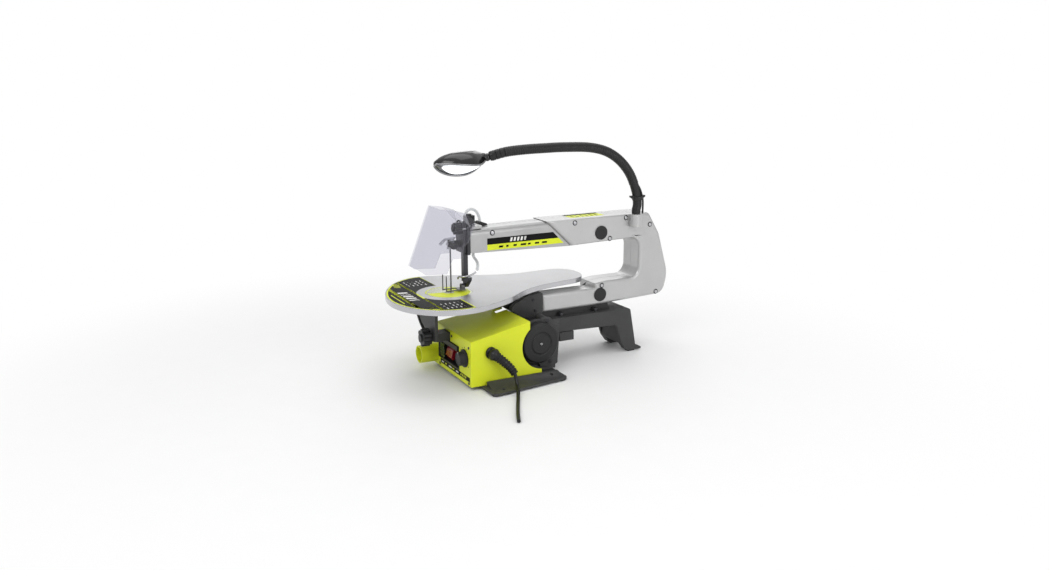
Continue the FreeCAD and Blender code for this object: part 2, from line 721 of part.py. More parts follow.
def make_table():
    outline = TABLE_RIGHT + TABLE_LEFT
    body = new_body()
    face = sketch_on(body, "z", TOP - D["table_edge"])
    smooth_outline(face, outline)
    pad_sketch(body, face, (0, D["table_edge"]))
    under = sketch_on(body, "z", TOP - D["table_edge"])
    smooth_outline(under, inset(outline, 8))
    pad_sketch(body, under, (0, D["table_edge"] - D["table_web"]), "PartDesign::Pocket")
    centre = (0, -5)
    seat = rod("z", centre, D["insert_r"] + 0.1, (TOP - 3, TOP + 1))
    window = rod("z", centre, D["insert_r"] - 6, (TOP - 20, TOP + 1))
    node("table", cut(body, seat, window))
    disc = rod("z", centre, D["insert_r"], (TOP - 3, TOP))
    node("table_insert", cut(disc, block((-5.5, 2.5), (-9, 9), (TOP - 5, TOP + 1))))


TRUNNION_Y = (-44.0, -38.0)


def make_trunnion():
    reach = D["tilt_bolt_r"]
    centre = (0, TOP)
    under = TOP - D["table_web"]
    disc = rod("y", centre, reach + 8, TRUNNION_Y)
    keep = block((-90, 24), (-60, -20), (60, under))
    slot = cut(rod("y", centre, reach + 4.1, (-60, -20)), rod("y", centre, reach - 4.1, (-60, -20)))
    swing = math.radians(num(D["tilt_max"]) + 3)
    far = 120
    wedge = prism("y", [(0, TOP), (far * math.sin(0.06), TOP - far), (-far * math.sin(swing / 2), TOP - far),
                        (-far * math.sin(swing), TOP - far * math.cos(swing))], (-61, -19))
    flange = block((-60, 20), (-56, -30), (under - 4, under))
    node("trunnion", fuse(cut(common(disc, keep), common(slot, wedge)), flange))
    bar = prism("x", [(-37, 72), (80.4, 72), (95.2, 88), (-37, 88)], (-14, 14))
    node("trunnion_bracket", cut(bar, rod("y", (0, TOP - reach), 4 + GAP, (-40, -15))))
    knob = star_knob(17, 16, 6, "y", 0, -47, TOP - reach, True)
    node("table_lock_knob", fuse(knob, rod("y", (0, TOP - reach), 4, (-48, -17))))
    node("tilt_pointer", prism("y", [(6, 88), (6, 91), (19, 97), (14, 88)], (-37, -35)))


# ---------------------------------------------------------------- front cover and controls
def cover_top(y):
    return 93 + (y - num(D["cover_front"])) * 23.0 / 120


SWITCH_X = (-39.0, 55.0)
SWITCH_Z = (25.0, 71.0)
SPEED_KNOB = (80.0, 56.0)
DUST_PORT = (-59.5, 29.0)


def make_front_cover():
    front, left, right = D["cover_front"], D["cover_left"], D["cover_right"]
    body = new_body()
    side = [(front, 7), (137, 7), (137, 66), (112, 101), (112, cover_top(112)), (front, 93)]
    pad(body, "x", side, (left, right))
    low = sketch_on(body, "y", 140)
    draw_outline(low, [(left - 1, 6), (left + 14, 6), (left + 14, 7), (left, 21), (left - 1, 21)])
    pad_sketch(body, low, (-12, 140), "PartDesign::Pocket")
    high = sketch_on(body, "y", 140)
    corner = [(left - 1, RELIEF_TOP + left - 1), (-30, RELIEF_TOP - 30), (-30, 120), (left - 1, 120)]
    draw_outline(high, corner)
    pad_sketch(body, high, (-12, 140), "PartDesign::Pocket")
    hollow(body, D["cover_wall"], lambda c, n: c.y > 111 or c.z < 7.1)
    arc = rod("x", CRANK, 46, (100, 120))
    slot = block((-9, 9), (90, 150), (100, 140))
    window = block(SWITCH_X, (-20, 0), SWITCH_Z)
    tilt_gap = block((-14.5, 14.5), (-20, 0), (71.5, 88.5))
    knob_hole = rod("y", SPEED_KNOB, 5, (-20, 0))
    dust_hole = rod("y", DUST_PORT, 15, (-20, 0))
    gland_hole = rod("x", (30, 68), 7, (100, 120))
    node("front_cover", cut(body, arc, slot, window, tilt_gap, knob_hole, dust_hole, gland_hole))
    node("dust_port", ring("y", DUST_PORT, 17.5, 15, (-46, front)))


def make_controls():
    front = D["cover_front"]
    left, right = SWITCH_X
    low, high = SWITCH_Z
    tray = block((left + 0.2, right - 0.2), (front - 1, 14), (low + 0.2, high - 0.2))
    recess = block((left + 3, right - 3), (front - 2, 4), (low + 3, high - 3))
    node("switch_housing", cut(tray, recess))
    paddle = prism("x", [(2, 37), (-8, 34), (-11, 39), (-8, 52), (-2, 58), (2, 56)], (-7, 21))
    node("switch_paddle", fuse(paddle, rod("x", (-1, 56), 1.5, (-9, 23))))
    knob = spin([(0, 0), (17, 0), (17, 2.5), (13.5, 3.5), (12.5, 13), (11.5, 14), (0, 14)], "y",
                SPEED_KNOB[0], front - 0.3, SPEED_KNOB[1], True)
    node("speed_knob", fuse(knob, rod("y", SPEED_KNOB, 3, (front - 1, 10.4))))
    node("speed_board", cut(block((60, 100), (4, 10), (36, 76)), rod("y", SPEED_KNOB, 3 + GAP, (0, 20))))


def make_cord():
    flange = ring("x", (30, 68), 11, 5, (108, 111))
    neck = ring("x", (30, 68), 6.9, 5, (104, 108))
    boot = round_pipe([(111, 30, 68), (120, 34, 65), (130, 45, 55), (136, 57, 42), (138.5, 62, 34)], 8, 5.4)
    node("cable_gland", fuse(flange, neck, boot))
    cord = [(100, 29, 68), (111, 30, 68), (120, 34, 65), (130, 45, 55), (136, 57, 42), (140, 64, 28),
            (148, 63, 16), (163, 57, 10.5), (185, 46, 5.5), (230, 22, 3.8), (283, -4, 3.8)]
    node("power_cord", round_pipe(cord, 3.4))


# ---------------------------------------------------------------- front bracket of the lower housing
def make_front_bracket():
    side = [(113, 125), (121, 131), (145, 143), (165, 146), (180.8, 146), (180.8, 93.2), (150, 93.2),
            (113, 118)]
    body = prism("x", side, (-HALF, HALF))
    corner = [(-HALF - 1, RELIEF_TOP - HALF - 1), (-1.8, 146), (-1.8, 147), (-HALF - 1, 147)]
    relief = prism("y", corner, (100, 190))
    arm_slot = block((-9, 9), (100, 190), (108, 150))
    rod_slot = block((-9, 20), (100, 168), (90, 150))
    nose = block((-22, -9), (93, 113.2), (117.4, 124.6))
    node("front_bracket", fuse(cut(body, relief, arm_slot, rod_slot), nose))


# ---------------------------------------------------------------- shield, air line
GUARD_WING = [(-30, 326), (-3, 322), (20, 315), (37, 301), (39, 294), (24, 260), (14.5, 253), (13, 232),
              (-8, 232), (-20, 205), (-62, 208), (-73, 216)]


def make_shield():
    """Clear folding guard: a front plate between two wings that turn on the nose bracket's ears."""
    plate = prism("x", [(-30, 326), (-73, 216), (-71.2, 215.3), (-28.2, 325.3)], (-30, 30))
    wings = [prism("x", GUARD_WING, span) for span in ((28, 30), (-30, -28))]
    pins = [rod("x", HINGE, 2, span) for span in ((24.5, 28), (-28, -24.5))]
    node("blade_shield", fuse(plate, *wings, *pins))


def make_air_line():
    """The hose loops beside the arm and passes under it to the pipe that blows dust off the cut."""
    hose = [(-33.4, 47, 287), (-33.4, 47, 300), (-33.4, 54, 311), (-33.4, 66, 310), (-33.4, 75, 298),
            (-33.6, 78, 280), (-33.6, 75, 258), (-32, 66, 239), (-24, 58, 226), (0, 53, 219), (20, 47, 213),
            (29.8, 41, 207.5)]
    elbow = block((-36.4, -27.1), (43.6, 50.5), (280, 286.98))
    node("air_hose", group(round_pipe(hose, 3, 1.8), elbow))
    pipe = [(31, 38, 204), (30.6, 31, 199.5), (29.4, 24.5, 197.5), (27.8, 20, 196.5), (23.5, 13, 195.5),
            (16, 10.5, 194.5), (8.5, 11, 189)]
    node("blower_pipe", round_pipe(pipe, 1.7, 1))


# ---------------------------------------------------------------- lamp
GOOSE = [(391.5, 289.4), (392.4, 309), (388.5, 334), (375, 367), (351, 395), (319, 415),
         (279, 425), (224, 428), (182, 428)]
LAMP_X = 16.0


def ellipse_wire(x, y, z, rx, rz):
    if rz > rx:
        curve = Part.Ellipse(V(x, y, z + rz), V(x + rx, y, z), V(x, y, z))
    else:
        curve = Part.Ellipse(V(x + rx, y, z), V(x, y, z + rz), V(x, y, z))
    return Part.Wire([curve.toShape()])


LAMP_SECTIONS = [(66, 414, 9.5, 9.5), (58, 412, 12, 12), (46, 408, 22, 17), (28, 405, 31, 20),
                 (8, 405, 33, 19), (-12, 407, 27, 15), (-26, 410, 17, 9), (-34, 412, 6, 3.5)]


def make_lamp():
    path = [(D["goose_x"], y, z) for y, z in GOOSE]
    path += [(36, 141, 427), (27, 106, 423.5), (LAMP_X + 2.9, 78.3, 416.5)]
    node("gooseneck", round_links(path, D["goose_r"], 10))
    socket = fuse(rod("z", (D["goose_x"], 391.5), 12.5, (262, 287.4)),
                  block((HALF - 1, D["goose_x"]), (381, 402), (264, 284)))
    node("lamp_socket", cut(socket, block((0, HALF), (370, 420), (250, 300))))
    loft = Part.makeLoft([ellipse_wire(LAMP_X, y, z, rx, rz) for y, z, rx, rz in LAMP_SECTIONS], True)
    head = doc.addObject("Part::Feature", "LampHead")
    head.Shape = loft
    level = 398.0
    under = block((-60, 80), (-60, 90), (360, level))
    cavity = cone("z", (LAMP_X, 14), 24, 12, (level - 1, 414))
    neck = rod("y", (LAMP_X, 414.3), 6, (60, 71))
    ball = sphere(LAMP_X, 71, 414.3, 7.5)
    pin = rod("x", (71, 414.3), 2.5, (LAMP_X - 9, LAMP_X + 9))
    node("lamp_shell", fuse(cut(head, under, cavity), neck, ball, pin))
    bezel = ring("z", (LAMP_X, 14), 26.5, 23.5, (level - 6, level))
    node("lamp_bezel", bezel)
    node("lamp_lens", rod("z", (LAMP_X, 14), 23.5, (level - 3, level - 0.5)))


# ---------------------------------------------------------------- fasteners
def screw(axis, centre, radius, face, height):
    """A domed screw head standing on a face, away from it when the height is positive."""
    low, high = min(face, face + height), max(face, face + height)
    return rod(axis, centre, radius, (low, high))


def make_screws():
    half = num(HALF)
    nose = num(NOSE)
    front = num(D["cover_front"])
    heads = []
    for y, z in ((253, 279), (373, 280), (335, 241), (318, 146), (432, 262), (452, 118)):
        heads.append(screw("x", (y, z), D["screw_r"], half, 1.6))
    heads.append(screw("x", (75, 274), D["screw_r"], nose, 1.6))
    for y, z in ((160, 135), (165, 113)):
        heads.append(screw("x", (y, z), 2.6, half, 1.6))
    for x, z in ((-50, 84), (22, 83), (98.6, 80), (-38, 13), (98, 12)):
        heads.append(screw("y", (x, z), 2.6, front, -1.2))
    heads.append(rod("x", CRANK, 2.9, (95, 100)))
    heads += [screw("x", ear, 3.4, 81.8, 1.8) for ear in MOTOR_EARS]
    node("case_screws", group(*heads))
    bolts = []
    for y in (225, 305):
        for side in (-1, 1):
            bolts.append(rod("z", (side * 26, y), 6, (93, 101)))
    node("base_bolts", group(*bolts))


def idle(pocket):
    """True for a pocket that took nothing away."""
    return pocket.BaseFeature.Shape.Volume - pocket.Shape.Volume < 1


BUILDERS = [make_base, make_feet, make_housing, make_arm_covers, make_front_bracket, make_arms, make_rear_link,
            make_con_rod, make_motor, make_blade, make_nose, make_foot, make_table, make_trunnion,
            make_front_cover, make_controls, make_cord, make_shield, make_air_line, make_lamp, make_screws]
for build in BUILDERS:
    build()
doc.recompute()

broken = [o.Label for o in doc.Objects if "Invalid" in o.State or "Error" in o.State]
broken += [o.Name for o in doc.Objects if o.TypeId == "PartDesign::Pocket" and idle(o)]
broken += [o.Label for o in NODES if o.Shape.isNull() or not o.Shape.isValid() or not o.Shape.Solids]
if broken:
    raise RuntimeError("failed objects: " + ", ".join(broken))
os.makedirs("parts", exist_ok=True)
for piece in NODES:
    piece.Shape.exportStep("parts/%s.step" % piece.Label)
print("wrote %d sub-parts" % len(NODES))
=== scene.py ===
import json
import math

import bmesh
import bpy
from mathutils import Matrix, Vector


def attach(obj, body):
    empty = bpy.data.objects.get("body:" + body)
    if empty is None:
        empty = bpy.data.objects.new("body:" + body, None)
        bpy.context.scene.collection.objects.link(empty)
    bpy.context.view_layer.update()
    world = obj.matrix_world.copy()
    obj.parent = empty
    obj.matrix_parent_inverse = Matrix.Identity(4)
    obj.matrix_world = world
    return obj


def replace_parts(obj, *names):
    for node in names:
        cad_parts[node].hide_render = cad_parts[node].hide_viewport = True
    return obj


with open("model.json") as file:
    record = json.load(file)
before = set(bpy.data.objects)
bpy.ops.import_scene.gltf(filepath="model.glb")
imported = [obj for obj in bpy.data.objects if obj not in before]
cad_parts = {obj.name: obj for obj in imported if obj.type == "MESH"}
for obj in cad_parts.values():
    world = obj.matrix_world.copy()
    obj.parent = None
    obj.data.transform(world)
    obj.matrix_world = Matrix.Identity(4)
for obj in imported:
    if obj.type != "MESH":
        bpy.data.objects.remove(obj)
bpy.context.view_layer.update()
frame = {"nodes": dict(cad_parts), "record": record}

MM = 0.001
NODES = frame["nodes"]
LIME = (0.690, 0.760, 0.022)
WHITE = (0.78, 0.78, 0.76)


# ---------------------------------------------------------------- materials
def link(tree, a, b):
    """Join an output to an input."""
    tree.links.new(a, b)


def ramp(tree, source, low, high):
    """Spread a noise value over a range."""
    node = tree.nodes.new("ShaderNodeMapRange")
    node.inputs["From Min"].default_value = 0.3
    node.inputs["From Max"].default_value = 0.7
    node.inputs["To Min"].default_value = low
    node.inputs["To Max"].default_value = high
    link(tree, source, node.inputs["Value"])
    return node.outputs["Result"]


def noise(tree, scale, detail, stretch=(1, 1, 1)):
    """Noise in row coordinates; stretch draws it out along an axis."""
    coords = tree.nodes.new("ShaderNodeTexCoord")
    mapping = tree.nodes.new("ShaderNodeMapping")
    mapping.inputs["Scale"].default_value = stretch
    texture = tree.nodes.new("ShaderNodeTexNoise")
    texture.inputs["Scale"].default_value = scale
    texture.inputs["Detail"].default_value = detail
    link(tree, coords.outputs["Object"], mapping.inputs["Vector"])
    link(tree, mapping.outputs["Vector"], texture.inputs["Vector"])
    return texture.outputs["Fac"]


def material(name, color, rough, metal=0.0, vary=0.06, grain=900, bump=0.05, depth=0.0004,
             stretch=(1, 1, 1),
             edge=0.0006, rim=0.15, coat=0.0, glow=0.0, rough_vary=0.06, shine=0.5, alpha=1.0):
    """A surface with fine grain, slow colour drift, uneven gloss and softened edges, with a painted
    highlight that lightens the colour along its edges.
    """
    mat = bpy.data.materials.new(name)
    mat.use_nodes = True
    tree = mat.node_tree
    shader = tree.nodes["Principled BSDF"]
    slow = noise(tree, 22, 3)
    fine = noise(tree, grain, 4, stretch)
    drift = tree.nodes.new("ShaderNodeMix")
    drift.data_type = "RGBA"
    drift.inputs["A"].default_value = tuple(c * (1 - vary) for c in color) + (1,)
    drift.inputs["B"].default_value = tuple(min(1, c * (1 + vary)) for c in color) + (1,)
    link(tree, ramp(tree, slow, 0, 1), drift.inputs["Factor"])
    bevel = tree.nodes.new("ShaderNodeBevel")
    bevel.samples = 4
    bevel.inputs["Radius"].default_value = edge
    geometry = tree.nodes.new("ShaderNodeNewGeometry")
    dot = tree.nodes.new("ShaderNodeVectorMath")
    dot.operation = "DOT_PRODUCT"
    link(tree, bevel.outputs["Normal"], dot.inputs[0])
    link(tree, geometry.outputs["Normal"], dot.inputs[1])
    # painted highlight: the colour is lightened where the bevelled normal turns away from the face's own,
    # along every edge; rim sets how strong it is
    corner = tree.nodes.new("ShaderNodeMapRange")
    corner.inputs["From Min"].default_value = 0.99
    corner.inputs["From Max"].default_value = 0.75
    corner.inputs["To Max"].default_value = rim
    link(tree, dot.outputs["Value"], corner.inputs["Value"])
    painted_edge_highlight = tree.nodes.new("ShaderNodeMix")
    painted_edge_highlight.data_type = "RGBA"
    painted_edge_highlight.inputs["B"].default_value = tuple(min(1, c * 1.5 + 0.06) for c in color) + (1,)
    link(tree, corner.outputs["Result"], painted_edge_highlight.inputs["Factor"])
    link(tree, drift.outputs["Result"], painted_edge_highlight.inputs["A"])
    link(tree, painted_edge_highlight.outputs["Result"], shader.inputs["Base Color"])
    link(tree, ramp(tree, fine, max(0.02, rough - rough_vary), min(1, rough + rough_vary)),
         shader.inputs["Roughness"])
    relief = tree.nodes.new("ShaderNodeBump")
    relief.inputs["Strength"].default_value = bump
    relief.inputs["Distance"].default_value = depth
    link(tree, fine, relief.inputs["Height"])
    link(tree, bevel.outputs["Normal"], relief.inputs["Normal"])
    link(tree, relief.outputs["Normal"], shader.inputs["Normal"])
    shader.inputs["Metallic"].default_value = metal
    shader.inputs["Specular IOR Level"].default_value = shine
    shader.inputs["Alpha"].default_value = alpha
    shader.inputs["Coat Weight"].default_value = coat
    shader.inputs["Coat Roughness"].default_value = 0.12
    if glow:
        shader.inputs["Emission Color"].default_value = (0.92, 0.96, 1, 1)
        shader.inputs["Emission Strength"].default_value = glow
    return mat


def tinted(name, tint, color, share):
    """Clear plastic: light passes with a tint, and only a small share of its surface shows."""
    mat = material(name, color, 0.12, vary=0.02, bump=0.01, edge=0.0004, rough_vary=0.04)
    tree = mat.node_tree
    through = tree.nodes.new("ShaderNodeBsdfTransparent")
    through.inputs["Color"].default_value = tint + (1,)
    mix = tree.nodes.new("ShaderNodeMixShader")
    mix.inputs["Fac"].default_value = share
    link(tree, through.outputs["BSDF"], mix.inputs[1])
    link(tree, tree.nodes["Principled BSDF"].outputs["BSDF"], mix.inputs[2])
    link(tree, mix.outputs["Shader"], tree.nodes["Material Output"].inputs["Surface"])
    return mat


MATS = {
    "cast_grey": material("cast_grey", (0.050, 0.050, 0.051), 0.5, grain=1500, bump=0.3, rim=0.25,
                          vary=0.12, shine=0.3),
    "silver": material("silver", (0.50, 0.50, 0.50), 0.36, metal=0.5, grain=2600, bump=0.12, coat=0.2,
                       vary=0.03),
    "nose_silver": material("nose_silver", (0.42, 0.42, 0.42), 0.36, metal=0.5, grain=2600, bump=0.12,
                            coat=0.2),
    "lime": material("lime", LIME, 0.4, grain=2200, bump=0.12, coat=0.05, vary=0.03, edge=0.0010, rim=0.12,
                     shine=0.3),
    "black_plastic": material("black_plastic", (0.019, 0.019, 0.020), 0.42, grain=1800, bump=0.2, rim=0.3,
                              shine=0.3),
    "gloss_black": material("gloss_black", (0.006, 0.006, 0.007), 0.16, grain=600, bump=0.03, coat=0.4,
                            shine=0.4),
    "grey_plastic": material("grey_plastic", (0.16, 0.16, 0.165), 0.25, grain=1600, bump=0.06, coat=0.3),
    "rubber": material("rubber", (0.008, 0.008, 0.009), 0.36, grain=1300, bump=0.2, rim=0.2, shine=0.4),
    "table_metal": material("table_metal", (0.50, 0.50, 0.51), 0.42, metal=0.75, grain=700, bump=0.10,
                            stretch=(6, 0.35, 1), vary=0.03, edge=0.0012, rim=0.35),
    "table_rim": material("table_rim", (0.52, 0.52, 0.54), 0.2, metal=1.0, grain=900, bump=0.06,
                          stretch=(0.4, 0.4, 6), vary=0.03, edge=0.0012, rim=0.5),
    "insert": material("insert", (0.46, 0.48, 0.38), 0.30, metal=0.75, grain=800, bump=0.08,
                       stretch=(4, 0.4, 1)),
    "steel": material("steel", (0.55, 0.55, 0.57), 0.22, metal=1.0, grain=1400, bump=0.08,
                      stretch=(1, 1, 0.15)),
    "dark_steel": material("dark_steel", (0.05, 0.05, 0.054), 0.32, metal=0.7, grain=1200, bump=0.12,
                           rim=0.5),
    "bronze": material("bronze", (0.55, 0.36, 0.16), 0.4, metal=1.0, grain=1500, bump=0.2),
    # the paddle's own dark red, made darker still as painted shade of the recess it sits in
    "red": material("red", (0.22, 0.004, 0.014), 0.25, grain=1200, bump=0.08, coat=0.4),
    "clear": tinted("clear", (0.90, 0.90, 0.925), (0.60, 0.60, 0.64), 0.05),
    # for the guard's thin edge faces: whiter and less clear, a painted highlight of the light its edges
    # catch
    "clear_edge": tinted("clear_edge", (0.80, 0.80, 0.84), (0.75, 0.75, 0.78), 0.3),
    "blade_steel": material("blade_steel", (0.13, 0.13, 0.135), 0.35, metal=0.6, grain=1400, bump=0.08),
    "reflector": material("reflector", (0.30, 0.30, 0.31), 0.25, metal=0.9, grain=900, bump=0.04),
    "lens": material("lens", (0.92, 0.94, 0.98), 0.3, glow=0.9, vary=0.02, bump=0.02),
    "chrome": material("chrome", (0.70, 0.70, 0.72), 0.09, metal=1.0, bump=0.01, rough_vary=0.02),
    "copper": material("copper", (0.05, 0.048, 0.047), 0.45, metal=0.6, grain=1500, bump=0.3,
                       stretch=(8, 1, 1)),
    "board": material("board", (0.015, 0.10, 0.045), 0.4, grain=1500, bump=0.1),
    "clear_hose": material("clear_hose", (0.70, 0.72, 0.74), 0.15, vary=0.03, bump=0.03, alpha=0.4),
    "ink_black": material("ink_black", (0.004, 0.004, 0.0045), 0.5, grain=2500, bump=0.04, rim=0.05,
                          shine=0.12),
    "ink_lime": material("ink_lime", (0.70, 0.78, 0.03), 0.45, grain=2500, bump=0.04, rim=0.05, shine=0.2),
    "ink_white": material("ink_white", WHITE, 0.4, grain=2500, bump=0.04, rim=0.05),
    "smoke": material("smoke", (0.05, 0.08, 0.05), 0.12, vary=0.05, bump=0.02, alpha=0.6),
}


def paint(obj, name):
    """One material for the whole of a CAD node."""
    obj.data.materials.clear()
    obj.data.materials.append(MATS[name])


SPECIAL = {"arm_cover_right": "nose_silver", "arm_cover_left": "nose_silver", "nose_cap": "nose_silver",
           "nose_bracket": "dark_steel", "upper_clamp": "steel", "motor_body": "dark_steel",
           "blade": "blade_steel", "foot_fork": "blade_steel"}
for entry in frame["record"]["subparts"]:
    name = entry["node"]
    paint(NODES[name], SPECIAL.get(name, entry["material_slot"]))
SLOT_OF = {entry["node"]: entry["material_slot"] for entry in frame["record"]["subparts"]}
BODY_OF = {n: body for body, names in frame["record"]["behaviour"]["bodies"].items() for n in names}


# ---------------------------------------------------------------- building blocks
def piece(name, mesh, mats, body, smooth=35):
    """A finished mesh as a piece that rides on a body."""
    obj = bpy.data.objects.new(name, mesh)
    bpy.context.collection.objects.link(obj)
    for mat in mats if isinstance(mats, (list, tuple)) else [mats]:
        mesh.materials.append(MATS[mat])
    if smooth:
        shade(obj, smooth)
    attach(obj, body)
    return obj


def shade(obj, angle):
    """Smooth shading with creases wherever two faces meet at more than the angle."""
    mesh = obj.data
    mesh.polygons.foreach_set("use_smooth", [True] * len(mesh.polygons))
    bm = bmesh.new()
    bm.from_mesh(mesh)
    for edge in bm.edges:
        if len(edge.link_faces) == 2:
            edge.smooth = edge.calc_face_angle(0) < math.radians(angle)
    bm.to_mesh(mesh)
    bm.free()


# The broad shoulders of the outer castings: side face's x, lowest z they start from, and their width.
SHOULDERS = {"housing_right": (31, 0, 6.5), "housing_left": (-31, 0, 6.5),
             "arm_cover_right": (27, 270, 11), "arm_cover_left": (-27, 270, 11)}
PIVOTS = ((314, 127.5), (314,
                         254.5))       # (y, z) of the housing's holes, which stay sharp below their caps
PIVOT_REACH = 6             # a little more than such a hole's radius
LOW_WALL = (304, 125)       # the wall below the tilted table lies in front of this y and under this z
CUT_EDGE = 500              # the guard's faces below this area, in square millimetres, are its sawn edges


def soften(node, width, segments=3, angle=32):
    """The CAD node's own shape with rounded edges, shown in its place."""
    side, floor, broad = SHOULDERS.get(node, (None, 0, width))
    bm = bmesh.new()
    bm.from_mesh(NODES[node].data)
    bmesh.ops.remove_doubles(bm, verts=bm.verts, dist=2e-6)
    bmesh.ops.dissolve_limit(bm, angle_limit=math.radians(0.6), verts=bm.verts, edges=bm.edges)
    weight = bm.edges.layers.float.new("bevel_weight_edge")
    for edge in bm.edges:
        if len(edge.link_faces) != 2 or edge.calc_face_angle(0) < math.radians(angle):
            continue
        ends = [v.co / MM for v in edge.verts]
        outer = side is not None and all(abs(p.x - side) < 0.05 and p.z > floor for p in ends)
        if node == "housing_left" and all(p.y < LOW_WALL[0] and p.z < LOW_WALL[1] for p in ends):
            outer = False       # the low wall has no room for the wide edge
        if side and any(math.dist((p.y, p.z), pivot) < PIVOT_REACH for p in ends for pivot in PIVOTS):
            continue
        edge[weight] = 1.0 if outer or side is None else width / broad
    mats = [SPECIAL.get(node, SLOT_OF[node])]
    if node == "table":
        mats.append("table_rim")
        for face in bm.faces:
            face.material_index = int(abs(face.normal.z) < 0.5)
    # the guard's small edge faces take clear_edge, their painted highlight
    if node == "blade_shield":
        mats.append("clear_edge")
        for face in bm.faces:
            face.material_index = int(face.calc_area() < CUT_EDGE * MM * MM)
    mesh = bpy.data.meshes.new(node + "_soft")
    bm.to_mesh(mesh)
    bm.free()
    obj = piece(node + "_soft", mesh, mats, BODY_OF[node], 0)
    obj.data.polygons.foreach_set("use_smooth", [True] * len(obj.data.polygons))
    bevel = obj.modifiers.new("edges", "BEVEL")
    bevel.width = broad * MM
    bevel.segments = 6 if side else segments
    bevel.limit_method = "WEIGHT"
    bevel.use_clamp_overlap = side is None
    shading = obj.modifiers.new("shading", "WEIGHTED_NORMAL")
    shading.weight = 100
    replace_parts(obj, node)
    return obj


def grid_mesh(name, rings, closed=True, caps=True):
    """Skin a list of rings that all have the same number of points."""
    bm = bmesh.new()
    rows = [[bm.verts.new(p) for p in ring] for ring in rings]
    count = len(rows[0])
    for a, b in zip(rows, rows[1:]):
        for i in range(count if closed else count - 1):
            j = (i + 1) % count
            bm.faces.new((a[i], a[j], b[j], b[i]))
    if caps:
        bm.faces.new(reversed(rows[0]))
        bm.faces.new(rows[-1])
    bmesh.ops.recalc_face_normals(bm, faces=bm.faces)
    mesh = bpy.data.meshes.new(name)
    bm.to_mesh(mesh)
    bm.free()
    return mesh


def spline(points, step):
    """Evenly spaced points on a smooth curve through the given points, in millimetres."""
    pts = [Vector(p) for p in points]
    pts = [2 * pts[0] - pts[1]] + pts + [2 * pts[-1] - pts[-2]]
    dense = []
    for i in range(1, len(pts) - 2):
        p0, p1, p2, p3 = pts[i - 1:i + 3]
        for k in range(24):
            t = k / 24
            dense.append(0.5 * ((2 * p1) + (p2 - p0) * t + (2 * p0 - 5 * p1 + 4 * p2 - p3) * t * t
                                + (3 * p1 - p0 - 3 * p2 + p3) * t ** 3))
    dense.append(pts[-2])
    out, left = [dense[0]], step
    for a, b in zip(dense, dense[1:]):
        span = (b - a).length
        at = 0.0
        while span - at >= left:
            at += left
            out.append(a.lerp(b, at / span))
            left = step
        left -= span - at
    return out


def tube(name, points, radius, step=1.0, sides=24):
    """A round tube along a smooth path; radius is a function of the distance travelled."""
    path = spline(points, step)
    normal = None
    rings = []
    for i, p in enumerate(path):
        ahead = (path[min(i + 1, len(path) - 1)] - path[max(i - 1, 0)]).normalized()
        if normal is None:
            normal = ahead.orthogonal().normalized()
        normal = (normal - ahead * normal.dot(ahead)).normalized()
        side = ahead.cross(normal)
        r = radius(i * step)
        rings.append([(p + (normal * math.cos(a) + side * math.sin(a)) * r) * MM
                      for a in (2 * math.pi * k / sides for k in range(sides))])
    return grid_mesh(name, rings)


def turned(name, profile, centre, axis, sides=48):
    """A turned piece from (radius, height) points along an axis, in millimetres."""
    turn = Vector((0, 0, 1)).rotation_difference(Vector(axis)).to_matrix()
    rings = []
    for r, h in profile:
        rings.append([(Vector(centre) + turn @ Vector((max(r, 0.01) * math.cos(a),
                                                       max(r, 0.01) * math.sin(a), h))) * MM
                      for a in (2 * math.pi * k / sides for k in range(sides))])
    return grid_mesh(name, rings)


def slab(bm, corners, low, high, index=0, axis="z"):
    """Add a flat plate to a bmesh: its outline across an axis and its two faces' places on that axis."""
    def at(u, v, w):
        p = {"x": (w, u, v), "y": (u, w, v), "z": (u, v, w)}[axis]
        return bm.verts.new([c * MM for c in p])
    bottom = [at(u, v, low) for u, v in corners]
    top = [at(u, v, high) for u, v in corners]
    faces = [bm.faces.new(bottom), bm.faces.new(top)]
    for i in range(len(corners)):
        j = (i + 1) % len(corners)
        faces.append(bm.faces.new((bottom[i], bottom[j], top[j], top[i])))
    for face in faces:
        face.material_index = index


def plates(name, items, mats, body, axis="z"):
    """Several flat plates as one piece: (outline, low, high, material index)."""
    bm = bmesh.new()
    for corners, low, high, index in items:
        slab(bm, corners, low, high, index, axis)
    bmesh.ops.recalc_face_normals(bm, faces=bm.faces)
    mesh = bpy.data.meshes.new(name)
    bm.to_mesh(mesh)
    bm.free()
    return piece(name, mesh, mats, body)


def box(u0, u1, v0, v1):
    """A rectangle's corners."""
    return [(u0, v0), (u1, v0), (u1, v1), (u0, v1)]


def lean(u, v, width, height, shift):
    """A leaning bar: its lower left corner, size and how far its top moves along."""
    return [(u, v), (u + width, v), (u + width + shift, v + height), (u + shift, v + height)]


# ---------------------------------------------------------------- rounded castings and mouldings
SOFT = {"housing_right": 1.0, "housing_left": 1.0, "arm_cover_right": 1.0, "arm_cover_left": 1.0,
        "front_cover": 2.0, "base_casting": 1.2, "front_bracket": 1.0, "nose_cap": 1.2, "nose_bracket": 0.8,
        "table": 1.6, "motor_end_cover": 0.8, "motor_bracket": 0.8, "lamp_socket": 1.0, "dust_port": 0.5,
        "table_lock_knob": 1.4, "foot_lock_knob": 1.2, "tension_knob": 1.2, "tension_lever": 1.0,
        "pivot_caps": 0.6, "foot_fork": 0.4, "foot_bar": 0.5, "trunnion": 0.6, "trunnion_bracket": 0.8,
        "switch_paddle": 1.2, "switch_housing": 0.6, "rubber_feet": 0.6, "upper_clamp": 0.5,
        "lower_clamp": 0.5, "upper_clamp_screw": 0.8, "lower_clamp_screw": 0.8,
        "blade_release_lever": 0.5, "blade_shield": 0.5,
        "table_insert": 0.3}
for name, width in SOFT.items():
    soften(name, width)


